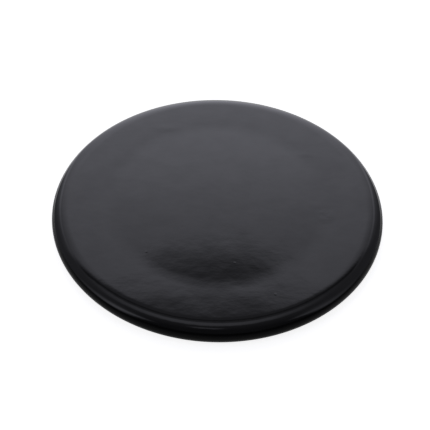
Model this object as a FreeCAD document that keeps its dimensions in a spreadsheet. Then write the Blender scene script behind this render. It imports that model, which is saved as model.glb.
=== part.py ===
import FreeCAD, Part
import math
import os
import Sketcher

# Gas burner cap: a round metal lid with a shallow crown, a nearly flat land, a rounded edge and a hollow
# underside. Millimetres. The cap stands on the foot of its rim at Z 0, with its axis on Z.

doc = FreeCAD.newDocument("burner_cap")

# Sizes
values = {
    "cap_diameter": 100.0,
    "crown_rise": 1.0,
    "blend_width": 4.5,
    "land_width": 9.7,
    "land_radius": 500.0,
    "land_fall": 0.2,
    "rolloff_radius": 9.0,
    "rolloff_width": 3.8,
    "shoulder_radius": 2.6,
    "foot_radius": 2.4,
    "foot_bevel": 0.6,
    "foot_width": 1.9,
    "foot_chamfer": 0.8,
    "corner_chamfer": 1.0,
    "plate_thickness": 1.6,
}
sizes = doc.addObject("Spreadsheet::Sheet", "Sizes")
for row, (alias, value) in enumerate(values.items(), start=1):
    sizes.set(f"A{row}", alias)
    sizes.set(f"B{row}", str(value))
    sizes.setAlias(f"B{row}", alias)
doc.recompute()

# Radii and widths under short names
cap_radius = values["cap_diameter"] / 2
rise = values["crown_rise"]
blend_width = values["blend_width"]
land_width = values["land_width"]
land_radius = values["land_radius"]
land_fall = values["land_fall"]
rolloff = values["rolloff_radius"]
rolloff_width = values["rolloff_width"]
shoulder = values["shoulder_radius"]
foot_round = values["foot_radius"]
bevel = values["foot_bevel"]
chamfer = values["foot_chamfer"]
corner = values["corner_chamfer"]

# Places that follow from the sizes, where the section starts before its dimensions hold it
bevel_turn = math.pi / 4
equator = bevel + foot_round * math.sin(bevel_turn)
foot_end = cap_radius - foot_round * (1 - math.cos(bevel_turn)) - bevel
wall = foot_end - values["foot_width"] - chamfer
land_chord = math.atan(land_fall / land_width)
land_bend = math.asin(math.hypot(land_width, land_fall) / land_radius / 2)
land_slope = land_chord - land_bend
land_turn = land_chord + land_bend
edge_turn = math.asin(rolloff_width / rolloff + math.sin(land_turn))
edge_drop = rolloff * (math.cos(land_turn) - math.cos(edge_turn))
land_low = equator + shoulder * math.cos(edge_turn) + edge_drop
land_top = land_low + land_fall
land_out = cap_radius - shoulder * (1 - math.sin(edge_turn)) - rolloff_width
land_in = land_out - land_width
roof = land_low - values["plate_thickness"]
crown_slope = 2 * math.atan((rise - blend_width * math.tan(land_slope / 2)) / land_in)
crown_arc = (land_in - blend_width) / math.sin(crown_slope)
blend_arc = blend_width / (math.sin(crown_slope) - math.sin(land_slope))


def point(x, z):
    return FreeCAD.Vector(x, z, 0)


def arc(centre, radius, first, second):
    """Arc about a centre, the short way from one point's direction to the other's."""
    start = math.atan2(first.y - centre.y, first.x - centre.x)
    end = math.atan2(second.y - centre.y, second.x - centre.x)
    turn = (end - start + math.pi) % (2 * math.pi) - math.pi
    circle = Part.Circle(centre, FreeCAD.Vector(0, 0, 1), radius)
    if turn > 0:
        return Part.ArcOfCircle(circle, start, start + turn), 1, 2
    return Part.ArcOfCircle(circle, end, end - turn), 2, 1


def along(start, towards, length):
    return start + (towards - start) * (length / (towards - start).Length)


def tilted(place, tilt, length):
    """Point at a length from a place, towards the top and outwards by a tilt."""
    return place + point(math.sin(tilt), math.cos(tilt)) * length


# Points of the section
land_start = point(land_in, land_top)
land_end = point(land_out, land_low)
crown_middle = point(0, land_top + rise - crown_arc)
blend_middle = tilted(land_start, land_slope, blend_arc)
land_middle = tilted(land_start, land_slope, -land_radius)
rolloff_middle = tilted(land_end, land_turn, -rolloff)
shoulder_middle = point(cap_radius - shoulder, equator)
foot_middle = point(cap_radius - foot_round, equator)
top = point(0, land_top + rise)
crown_end = along(crown_middle, blend_middle, crown_arc)
rolloff_end = along(rolloff_middle, shoulder_middle, rolloff)
widest = point(cap_radius, equator)
bevel_top = point(foot_end + bevel, bevel)
foot_out = point(foot_end, 0)
foot_in = point(wall + chamfer, 0)
wall_low = point(wall, chamfer)
wall_top = point(wall, roof - corner)
roof_out = point(wall - corner, roof)
roof_middle = point(0, roof)

# Cap body
body = doc.addObject("PartDesign::Body", "burner_cap")
body.Label = "burner_cap"
upright = [plane for plane in body.Origin.OriginFeatures if plane.Role == "XZ_Plane"][0]
section = body.newObject("Sketcher::SketchObject", "cap_section")
section.AttachmentSupport = [(upright, "")]
section.MapMode = "FlatFace"

# The section in order: over the top, round the edge, and back along the hollow underside
outline = [
    ("crown", arc(crown_middle, crown_arc, top, crown_end)),
    ("blend", arc(blend_middle, blend_arc, crown_end, land_start)),
    ("land", arc(land_middle, land_radius, land_start, land_end)),
    ("rolloff", arc(rolloff_middle, rolloff, land_end, rolloff_end)),
    ("shoulder", arc(shoulder_middle, shoulder, rolloff_end, widest)),
    ("foot_round", arc(foot_middle, foot_round, widest, bevel_top)),
    ("foot_bevel", (bevel_top, foot_out)),
    ("foot", (foot_out, foot_in)),
    ("foot_chamfer", (foot_in, wall_low)),
    ("wall", (wall_low, wall_top)),
    ("corner_chamfer", (wall_top, roof_out)),
    ("roof", (roof_out, roof_middle)),
    ("axis", (roof_middle, top)),
]
ends = {}
for name, form in outline:
    if isinstance(form[0], FreeCAD.Vector):
        number = section.addGeometry(Part.LineSegment(form[0], form[1]), False)
        ends[name] = (number, 1, 2)
    else:
        number = section.addGeometry(form[0], False)
        ends[name] = (number, form[1], form[2])

# Neighbours run smoothly into each other over the top and meet at corners underneath
names = [name for name, form in outline]
corners = names[names.index("foot_bevel"):]
for name, following in zip(names, names[1:] + names[:1]):
    kind = "Coincident" if name in corners else "Tangent"
    section.addConstraint(
        Sketcher.Constraint(kind, ends[name][0], ends[name][2], ends[following][0], ends[following][1])
    )

# Lines lie level or upright, on the axis and on the table, and the edge is upright where it is widest
# Point 3 of an arc is its centre, and the lines -1 and -2 are the table and the axis
edge, edge_start, edge_end = ends["shoulder"]
for name in ("foot", "roof"):
    section.addConstraint(Sketcher.Constraint("Horizontal", ends[name][0]))
section.addConstraint(Sketcher.Constraint("Horizontal", edge, 3, edge, edge_end))
section.addConstraint(Sketcher.Constraint("Vertical", ends["wall"][0]))
section.addConstraint(Sketcher.Constraint("PointOnObject", ends["foot"][0], 1, -1))
section.addConstraint(Sketcher.Constraint("PointOnObject", ends["crown"][0], 3, -2))
for end in ends["axis"][1:]:
    section.addConstraint(Sketcher.Constraint("PointOnObject", ends["axis"][0], end, -2))


def dimension(name, rule, kind, *places):
    """Dimension of the section that follows an expression in the sheet."""
    number = section.addConstraint(Sketcher.Constraint(kind, *places))
    section.renameConstraint(number, name)
    section.setExpression(f"Constraints.{name}", rule)


def span(name, rule, direction, line, length):
    """Reach of a line or arc along X or Y, counted from its inner or lower end."""
    number, start, end = ends[line]
    reach = section.getPoint(number, end) - section.getPoint(number, start)
    rising = reach.x > 0 if direction == "DistanceX" else reach.y > 0
    first, second = (start, end) if rising else (end, start)
    dimension(name, rule, direction, number, first, number, second, length)


# Dimensions
land_line, land_first, land_last = ends["land"]
roof_line, axis_line = ends["roof"][0], ends["axis"][0]
dimension("cap_radius", "Sizes.cap_diameter / 2", "DistanceX", -1, 1, edge, edge_end, cap_radius)
plate = values["plate_thickness"]
dimension("plate_thickness", "Sizes.plate_thickness", "DistanceY", roof_line, 1, land_line, land_last, plate)
dimension("crown_rise", "Sizes.crown_rise", "DistanceY", land_line, land_first, axis_line, 2, rise)
dimension("land_radius", "Sizes.land_radius", "Radius", land_line, land_radius)
dimension("rolloff_radius", "Sizes.rolloff_radius", "Radius", ends["rolloff"][0], rolloff)
dimension("shoulder_radius", "Sizes.shoulder_radius", "Radius", edge, shoulder)
dimension("foot_radius", "Sizes.foot_radius", "Radius", ends["foot_round"][0], foot_round)
span("blend_width", "Sizes.blend_width", "DistanceX", "blend", blend_width)
span("land_width", "Sizes.land_width", "DistanceX", "land", land_width)
span("land_fall", "Sizes.land_fall", "DistanceY", "land", land_fall)
span("rolloff_width", "Sizes.rolloff_width", "DistanceX", "rolloff", rolloff_width)
span("foot_bevel_across", "Sizes.foot_bevel", "DistanceX", "foot_bevel", bevel)
span("foot_bevel_up", "Sizes.foot_bevel", "DistanceY", "foot_bevel", bevel)
span("foot_width", "Sizes.foot_width", "DistanceX", "foot", values["foot_width"])
span("foot_chamfer_across", "Sizes.foot_chamfer", "DistanceX", "foot_chamfer", chamfer)
span("foot_chamfer_up", "Sizes.foot_chamfer", "DistanceY", "foot_chamfer", chamfer)
span("corner_chamfer_across", "Sizes.corner_chamfer", "DistanceX", "corner_chamfer", corner)
span("corner_chamfer_up", "Sizes.corner_chamfer", "DistanceY", "corner_chamfer", corner)
doc.recompute()

# The cap is the section turned once round the axis
cap = body.newObject("PartDesign::Revolution", "turned_cap")
cap.Profile = section
cap.ReferenceAxis = (section, ["V_Axis"])
cap.Angle = 360
section.Visibility = False
body.Tip = cap
doc.recompute()

# Every feature holds and the cap is one sound solid
for item in doc.Objects:
    if "Invalid" in item.State or "Error" in item.State:
        raise RuntimeError(f"{item.Name} is {item.State}")
if body.Shape.isNull() or not body.Shape.isValid() or len(body.Shape.Solids) != 1:
    raise RuntimeError("the cap is not one valid solid")

os.makedirs("parts", exist_ok=True)
body.Shape.exportStep("parts/burner_cap.step")
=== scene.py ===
import math

import bpy
from mathutils import Matrix, Vector, noise


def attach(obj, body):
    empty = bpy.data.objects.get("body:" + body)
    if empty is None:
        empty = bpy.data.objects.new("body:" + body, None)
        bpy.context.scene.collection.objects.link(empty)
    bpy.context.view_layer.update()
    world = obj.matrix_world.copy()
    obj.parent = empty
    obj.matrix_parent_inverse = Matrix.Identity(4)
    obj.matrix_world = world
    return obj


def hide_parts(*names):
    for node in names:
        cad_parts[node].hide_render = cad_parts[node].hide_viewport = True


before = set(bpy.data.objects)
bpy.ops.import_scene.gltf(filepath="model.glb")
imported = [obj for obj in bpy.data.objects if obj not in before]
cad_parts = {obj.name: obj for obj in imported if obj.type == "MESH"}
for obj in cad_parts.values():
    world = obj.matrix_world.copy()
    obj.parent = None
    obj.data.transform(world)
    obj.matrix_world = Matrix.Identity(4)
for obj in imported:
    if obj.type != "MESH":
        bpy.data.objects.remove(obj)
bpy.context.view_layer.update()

# Gas burner cap in glossy black enamel, on a white floor in a soft studio. Metres.
scene = bpy.context.scene

# Sizes of the cap's section, the same as in the part but for the first two, which are a little smaller
# so that the smooth edge and the waves of the enamel stay inside the part's box
cap_radius = 0.04998
crown_rise = 0.00098
blend_width = 0.0045
land_width = 0.0097
land_radius = 0.5000
land_fall = 0.0002
rolloff_radius = 0.0090
rolloff_width = 0.0038
shoulder_radius = 0.0026
foot_radius = 0.0024
foot_bevel = 0.0006
foot_width = 0.0019
foot_chamfer = 0.0008
corner_chamfer = 0.0010
plate_thickness = 0.0016

# Places that follow from the sizes
land_chord = math.atan(land_fall / land_width)
land_bend = math.asin(math.hypot(land_width, land_fall) / land_radius / 2)
land_slope = land_chord - land_bend
land_turn = land_chord + land_bend
bevel_turn = math.pi / 4
equator = foot_bevel + foot_radius * math.sin(bevel_turn)
foot_end = cap_radius - foot_radius * (1 - math.cos(bevel_turn)) - foot_bevel
wall = foot_end - foot_width - foot_chamfer
edge_turn = math.asin(rolloff_width / rolloff_radius + math.sin(land_turn))
rolloff_drop = rolloff_radius * (math.cos(land_turn) - math.cos(edge_turn))
land_out = cap_radius - shoulder_radius * (1 - math.sin(edge_turn)) - rolloff_width
land_low = equator + shoulder_radius * math.cos(edge_turn) + rolloff_drop
land_in = land_out - land_width
land_top = land_low + land_fall
roof = land_low - plate_thickness
crown_width = land_in - blend_width
crown_slope = 2 * math.atan((crown_rise - blend_width * math.tan(land_slope / 2)) / land_in)

# Steps of the mesh along each arc of the section and each straight run underneath, and round the cap
crown_steps, blend_steps, land_steps = 48, 12, 20
rolloff_steps, shoulder_steps, foot_steps = 18, 26, 12
bevel_steps, sole_steps, chamfer_steps, wall_steps, corner_steps, roof_steps = 2, 3, 2, 4, 2, 24
round_steps = 448
sharp_angle = math.radians(30)


def arc(centre, radius, first, last, steps):
    """Points on an arc, without its first. Angles are the surface's tilt; a hollow radius is negative."""
    turns = [first + (last - first) * step / steps for step in range(1, steps + 1)]
    return [(centre[0] + radius * math.sin(turn), centre[1] + radius * math.cos(turn)) for turn in turns]


def line(start, end, steps):
    """Points on a straight run, without its start."""
    shares = [step / steps for step in range(1, steps + 1)]
    return [(start[0] + (end[0] - start[0]) * t, start[1] + (end[1] - start[1]) * t) for t in shares]


def cap_section():
    """Outline of the cap from the middle of the crown round the edge to the middle of the roof."""
    crown_radius = crown_width / math.sin(crown_slope)
    blend_radius = blend_width / (math.sin(crown_slope) - math.sin(land_slope))
    crown_place = (0, land_top + crown_rise - crown_radius)
    slope_across, slope_up = math.sin(land_slope), math.cos(land_slope)
    blend_place = (land_in + blend_radius * slope_across, land_top + blend_radius * slope_up)
    land_place = (land_in - land_radius * slope_across, land_top - land_radius * slope_up)
    shoulder_place = (cap_radius - shoulder_radius, equator)
    foot_place = (cap_radius - foot_radius, equator)
    beyond = rolloff_radius - shoulder_radius
    rolloff_place = (
        shoulder_place[0] - beyond * math.sin(edge_turn),
        shoulder_place[1] - beyond * math.cos(edge_turn),
    )
    upright = math.pi / 2
    points = [(0, crown_place[1] + crown_radius)]
    points += arc(crown_place, crown_radius, 0, crown_slope, crown_steps)
    points += arc(blend_place, -blend_radius, crown_slope, land_slope, blend_steps)
    points += arc(land_place, land_radius, land_slope, land_turn, land_steps)
    points += arc(rolloff_place, rolloff_radius, land_turn, edge_turn, rolloff_steps)
    points += arc(shoulder_place, shoulder_radius, edge_turn, upright, shoulder_steps)
    points += arc(foot_place, foot_radius, upright, math.pi - bevel_turn, foot_steps)
    corners = [
        ((foot_end, 0), bevel_steps),
        ((wall + foot_chamfer, 0), sole_steps),
        ((wall, foot_chamfer), chamfer_steps),
        ((wall, roof - corner_chamfer), wall_steps),
        ((wall - corner_chamfer, roof), corner_steps),
        ((0, roof), roof_steps),
    ]
    for corner, steps in corners:
        points += line(points[-1], corner, steps)
    return points


def turned(name, section, segments):
    """Closed mesh of a section turned about Z, whose first and last points lie on the axis."""
    vertices = [(0, 0, section[0][1])]
    for radius, height in section[1:-1]:
        for segment in range(segments):
            angle = 2 * math.pi * segment / segments
            vertices.append((radius * math.cos(angle), radius * math.sin(angle), height))
    vertices.append((0, 0, section[-1][1]))
    rings = len(section) - 2
    last = len(vertices) - 1
    faces = []
    for segment in range(segments):
        following = (segment + 1) % segments
        faces.append((0, 1 + segment, 1 + following))
        for ring in range(rings - 1):
            upper, lower = 1 + ring * segments, 1 + (ring + 1) * segments
            faces.append((upper + segment, lower + segment, lower + following, upper + following))
        lowest = 1 + (rings - 1) * segments
        faces.append((lowest + segment, last, lowest + following))
    mesh = bpy.data.meshes.new(name)
    mesh.from_pydata(vertices, [], faces)
    mesh.shade_smooth()
    mesh.set_sharp_from_angle(angle=sharp_angle)
    piece = bpy.data.objects.new(name, mesh)
    scene.collection.objects.link(piece)
    return piece


# Lumps in the enamel: middle, half length and half width across the view, and height
lumps = [
    ((-0.0173, 0.0325), 0.0040, 0.0016, 0.000045),
    ((0.0269, 0.0212), 0.0026, 0.0009, 0.000020),
    ((-0.0124, -0.0378), 0.0050, 0.0022, 0.000012),
    ((0.0083, -0.0380), 0.0050, 0.0022, 0.000012),
]


def wavy_enamel(piece):
    """Waves and lumps of the enamel over the top, a few hundredths of a millimetre high at most."""
    wave_length, wave_height = 0.0075, 0.000018
    ripple_length, ripple_height = 0.0032, 0.000006
    fade_start, fade_end = land_out, land_out + rolloff_width
    for vertex in piece.data.vertices:
        place = Vector((vertex.co.x, vertex.co.y, 0))
        if vertex.co.z < land_low - rolloff_drop or place.length > fade_end:
            continue
        share = 1 - max(0, (place.length - fade_start) / (fade_end - fade_start))
        rise = wave_height * noise.noise(place / wave_length)
        rise += ripple_height * noise.noise(place / ripple_length)
        for middle, half_length, half_width, height in lumps:
            across = (place.x - middle[0]) / half_length
            along = (place.y - middle[1]) / half_width
            rise += height * math.exp(-across * across - along * along)
        vertex.co.z += rise * share


class Value:
    """A node's output that can be used in sums and products."""

    def __init__(self, tree, socket):
        self.tree = tree
        self.socket = socket

    def math(self, operation, other=0.0):
        node = self.tree.nodes.new("ShaderNodeMath")
        node.operation = operation
        join(self.tree, node.inputs[0], self)
        join(self.tree, node.inputs[1], other)
        return Value(self.tree, node.outputs[0])

    def __add__(self, other):
        return self.math("ADD", other)

    def __sub__(self, other):
        return self.math("SUBTRACT", other)

    def __mul__(self, other):
        return self.math("MULTIPLY", other)

    def __truediv__(self, other):
        return self.math("DIVIDE", other)

    def size(self):
        return self.math("ABSOLUTE")

    def fade(self, start, end, first=0.0, last=1.0):
        """Smooth change from one level to another as the value goes from start to end."""
        node = self.tree.nodes.new("ShaderNodeMapRange")
        node.interpolation_type = "SMOOTHSTEP"
        for socket, value in zip(node.inputs, (self, start, end, first, last)):
            join(self.tree, socket, value)
        return Value(self.tree, node.outputs[0])

    def band(self, low, high, soft):
        """1 between two limits, fading out over a soft margin at each."""
        return self.fade(low - soft, low + soft) * self.fade(high - soft, high + soft, 1.0, 0.0)


def join(tree, socket, value):
    """Gives a socket a plain value or the output of another node."""
    if isinstance(value, Value):
        tree.links.new(value.socket, socket)
    else:
        socket.default_value = value


def parts(tree, vector):
    """The three coordinates of a vector output."""
    node = tree.nodes.new("ShaderNodeSeparateXYZ")
    tree.links.new(vector, node.inputs[0])
    return [Value(tree, output) for output in node.outputs]


def node_material(name):
    material = bpy.data.materials.new(name)
    material.use_nodes = True
    material.node_tree.nodes.clear()
    return material, material.node_tree


def noise_value(tree, place, scale, detail):
    node = tree.nodes.new("ShaderNodeTexNoise")
    tree.links.new(place, node.inputs["Vector"])
    join(tree, node.inputs["Scale"], scale)
    join(tree, node.inputs["Detail"], detail)
    return Value(tree, node.outputs[0])


# Grains in the enamel and a scuffed patch: place and radius
grains = [
    (-0.0202, -0.0215, 0.0005),
    (0.0166, -0.0361, 0.0005),
    (0.0007, 0.0352, 0.0005),
    (0.0052, -0.0252, 0.0004),
]
scuff = (0.0323, -0.0057, 0.0035)


def orange_peel(tree, place):
    """Normal of fine orange peel, drawn out along X and coarser where it is scuffed, with the grains."""
    peel_scale, peel_detail, peel_height = 550.0, 3.0, 0.000013
    scuff_gain, grain_height = 3.0, 0.9
    drawn_out = tree.nodes.new("ShaderNodeVectorMath")
    drawn_out.operation = "MULTIPLY"
    tree.links.new(place, drawn_out.inputs[0])
    join(tree, drawn_out.inputs[1], (0.7, 1.1, 1.0))
    right, back = parts(tree, place)[:2]

    def spot(x, y, radius):
        aside, along = right - x, back - y
        return (aside * aside + along * along).fade(0.0, radius * radius, 1.0, 0.0)

    peel = noise_value(tree, drawn_out.outputs[0], peel_scale, peel_detail)
    height = peel * (spot(*scuff) * scuff_gain + 1.0)
    for grain in grains:
        height = height + spot(*grain) * grain_height
    bump = tree.nodes.new("ShaderNodeBump")
    join(tree, bump.inputs["Strength"], 1.0)
    join(tree, bump.inputs["Distance"], peel_height)
    join(tree, bump.inputs["Height"], height)
    return bump.outputs[0]


# Enamel
def black_enamel():
    material, tree = node_material("black_enamel")
    shader = tree.nodes.new("ShaderNodeBsdfPrincipled")
    output = tree.nodes.new("ShaderNodeOutputMaterial")
    tree.links.new(shader.outputs[0], output.inputs["Surface"])
    place = tree.nodes.new("ShaderNodeTexCoord").outputs["Object"]
    up = parts(tree, place)[2]

    # Faint smudges all over, and painted shade round the foot: there the shine is turned almost off and the
    # gloss roughened, so the foot stays dark where it would mirror the white floor
    shiny_from, dull_below, foot_roughness, painted_shade_shine = 0.0044, 0.0038, 0.3, 0.04
    haze_scale, smudge_scale, detail = 300.0, 160.0, 3.0
    foot = up.fade(shiny_from, dull_below)
    haze = noise_value(tree, place, haze_scale, detail).fade(0.3, 0.7, 0.03, 0.05)
    shine = noise_value(tree, place, smudge_scale, detail).fade(0.3, 0.7, 0.485, 0.515)
    join(tree, shader.inputs["Roughness"], haze + foot * foot_roughness)
    # Painted shade: round the foot the shine drops nearly to nothing, keeping the foot dark where it would
    # mirror the white floor
    join(tree, shader.inputs["Specular IOR Level"], foot.fade(0.0, 1.0, shine, painted_shade_shine))
    join(tree, shader.inputs["Base Color"], (0.0010, 0.0010, 0.0011, 1.0))
    join(tree, shader.inputs["IOR"], 1.55)
    tree.links.new(orange_peel(tree, place), shader.inputs["Normal"])
    return material


# Studio: a soft tent, laid out on a chart of the sky with the zenith in its middle. Angles are in radians:
# across is to the right of the zenith, ahead is from it away from the camera, and from_zenith is the whole.
def dim_walls(across, ahead, from_zenith):
    """Dim walls at the back and sides, and a dark front that is darkest at the bottom."""
    front_top, front_bottom, left, right = 0.068, 0.020, 0.227, 0.199
    front = from_zenith.fade(0.80, 1.38, front_top, front_bottom)
    sides = across.fade(-0.4, 0.4, left, right)
    return front + ahead.fade(-0.33, 0.30) * (sides - front)


def low_glow(ahead, from_zenith):
    """Glow low in front, which shows the crown from behind."""
    level = 0.6
    return from_zenith.fade(1.20, 1.42) * (ahead / from_zenith).fade(-0.75, -0.45, 1.0, 0.0) * level


def back_screen(across, ahead):
    """Bright screen at the back with a strip down each side, and what a dark bar leaves of the walls."""
    level, strip_level, bar_share = 1.201, 0.320, 0.48
    middle, top, tilt, sag, lean, bend = 0.025, 0.518, 0.086, 0.126, 0.168, 0.16
    from_middle = across + middle
    aside = from_middle.size()
    edge = aside - (ahead - 0.7) * lean

    # The screen fades towards its sides and its top, and its top edge sags in the middle
    sideways = aside.fade(0.07, 0.685, 1.0, 0.462) * edge.fade(0.45, 0.91, 1.0, 0.0)
    below_top = ahead - from_middle * tilt - top
    below_edge = below_top - aside.fade(0.05, 0.32, sag, 0.0)
    screen = sideways * below_edge.fade(-0.060, 0.060) * ahead.fade(0.594, 0.956, 0.522, 1.0) * level

    # The bar lies just over that edge
    bar = (below_top - aside * aside * bend).band(-0.170, -0.090, 0.045) * aside.fade(0.50, 0.58, 1.0, 0.0)
    strips = edge.band(0.577, 0.665, 0.03) * ahead.fade(0.308, 0.90) * strip_level
    return screen + strips, bar.fade(0.0, 1.0, 1.0, bar_share)


def overhead_lights(across, ahead):
    """Curved light over the cap and a small lamp in front of it."""
    curve_level, curve_middle, curve_bend, lamp_level = 0.390, 0.062, 0.556, 0.330
    along_curve = across + curve_middle
    off_curve = ahead - along_curve * along_curve * curve_bend
    along_fade = along_curve.size().fade(0.094, 0.613, 1.0, 0.0)
    curve = off_curve.band(0.035, 0.225, 0.049) * along_fade * curve_level
    lamp = ahead.band(-0.158, -0.090, 0.03) * across.band(-0.120, 0.030, 0.05) * lamp_level
    return curve + lamp


def side_light(outward, ahead, from_zenith, rising, falling, lean, upper_end, lower_start, level):
    """Long light on one side towards the front, brightest half way up."""
    forward = from_zenith * lean - ahead / outward.math("MAXIMUM", 0.02)
    shape = forward.fade(*rising) * forward.fade(*falling, 1.0, 0.0) * outward.fade(0.0, 0.1)
    return shape * from_zenith.fade(*upper_end) * from_zenith.fade(lower_start, 1.7, 1.0, 0.1) * level


def studio_world():
    world = bpy.data.worlds.new("studio")
    scene.world = world
    world.use_nodes = True
    tree = world.node_tree
    tree.nodes.clear()
    right, back, up = parts(tree, tree.nodes.new("ShaderNodeTexCoord").outputs["Generated"])
    from_zenith = up.math("ARCCOSINE")
    spread = from_zenith / from_zenith.math("SINE").math("MAXIMUM", 0.0001)
    across = right * spread
    ahead = back * spread

    screen, bar_share = back_screen(across, ahead)
    level = dim_walls(across, ahead, from_zenith) * bar_share + low_glow(ahead, from_zenith)
    level = level + screen + overhead_lights(across, ahead)
    left_shape = ((-0.064, 0.690), (0.461, 0.995), 0.120, (0.388, 0.689), 1.015, 0.880)
    right_shape = ((-0.238, 0.376), (0.285, 0.593), 0.017, (0.421, 0.611), 0.948, 0.408)
    for outward, shape in ((across * -1.0, left_shape), (across, right_shape)):
        level = level + side_light(outward, ahead, from_zenith, *shape)
    background = tree.nodes.new("ShaderNodeBackground")
    join(tree, background.inputs["Color"], (0.965, 0.970, 1.095, 1.0))
    join(tree, background.inputs["Strength"], level)
    output = tree.nodes.new("ShaderNodeOutputWorld")
    tree.links.new(background.outputs[0], output.inputs["Surface"])


# Floor that is white to the camera and in reflections, and still takes the cap's shadow
def white_floor():
    reach, glow_level = 3.0, 0.85
    corners = [(-reach, -reach, 0), (reach, -reach, 0), (reach, reach, 0), (-reach, reach, 0)]
    mesh = bpy.data.meshes.new("floor")
    mesh.from_pydata(corners, [], [(0, 1, 2, 3)])
    plane = bpy.data.objects.new("floor", mesh)
    scene.collection.objects.link(plane)
    material, tree = node_material("white_floor")
    paint = tree.nodes.new("ShaderNodeBsdfDiffuse")
    join(tree, paint.inputs["Color"], (0.8, 0.8, 0.8, 1.0))
    rays = tree.nodes.new("ShaderNodeLightPath").outputs
    seen = [Value(tree, rays[name]) for name in ("Is Camera Ray", "Is Glossy Ray", "Is Transmission Ray")]
    glow = tree.nodes.new("ShaderNodeEmission")
    join(tree, glow.inputs["Strength"], (seen[0] + seen[1] + seen[2]) * glow_level)
    both = tree.nodes.new("ShaderNodeAddShader")
    tree.links.new(paint.outputs[0], both.inputs[0])
    tree.links.new(glow.outputs[0], both.inputs[1])
    output = tree.nodes.new("ShaderNodeOutputMaterial")
    tree.links.new(both.outputs[0], output.inputs["Surface"])
    mesh.materials.append(material)


# Camera at the photograph's viewing angle, fitted to the outline of the cap in its pixels
def camera():
    picture_width = 430
    focal_length, middle_across, middle_down = 1047.1, 217.45, 213.90
    distance, elevation, roll = 0.320, math.radians(45.93), math.radians(1.21)
    lens = bpy.data.cameras.new("camera")
    lens.sensor_width = 36.0
    lens.lens = focal_length / picture_width * lens.sensor_width
    lens.shift_x = 0.5 - middle_across / picture_width
    lens.shift_y = middle_down / picture_width - 0.5
    viewer = bpy.data.objects.new("camera", lens)
    scene.collection.objects.link(viewer)
    away = Vector((0, -math.cos(elevation), math.sin(elevation)))
    upward = Vector((0, math.sin(elevation), math.cos(elevation)))
    axes = Matrix((Vector((1, 0, 0)), upward, away)).transposed().to_4x4()
    viewer.matrix_world = Matrix.Translation(away * distance) @ axes @ Matrix.Rotation(roll, 4, "Z")
    scene.camera = viewer


# Cap
cap = turned("enamelled_cap", cap_section(), round_steps)
wavy_enamel(cap)
cap.data.materials.append(black_enamel())
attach(cap, "root")
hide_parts("burner_cap")

# Surroundings
white_floor()
studio_world()
camera()
scene.view_settings.view_transform = "Standard"
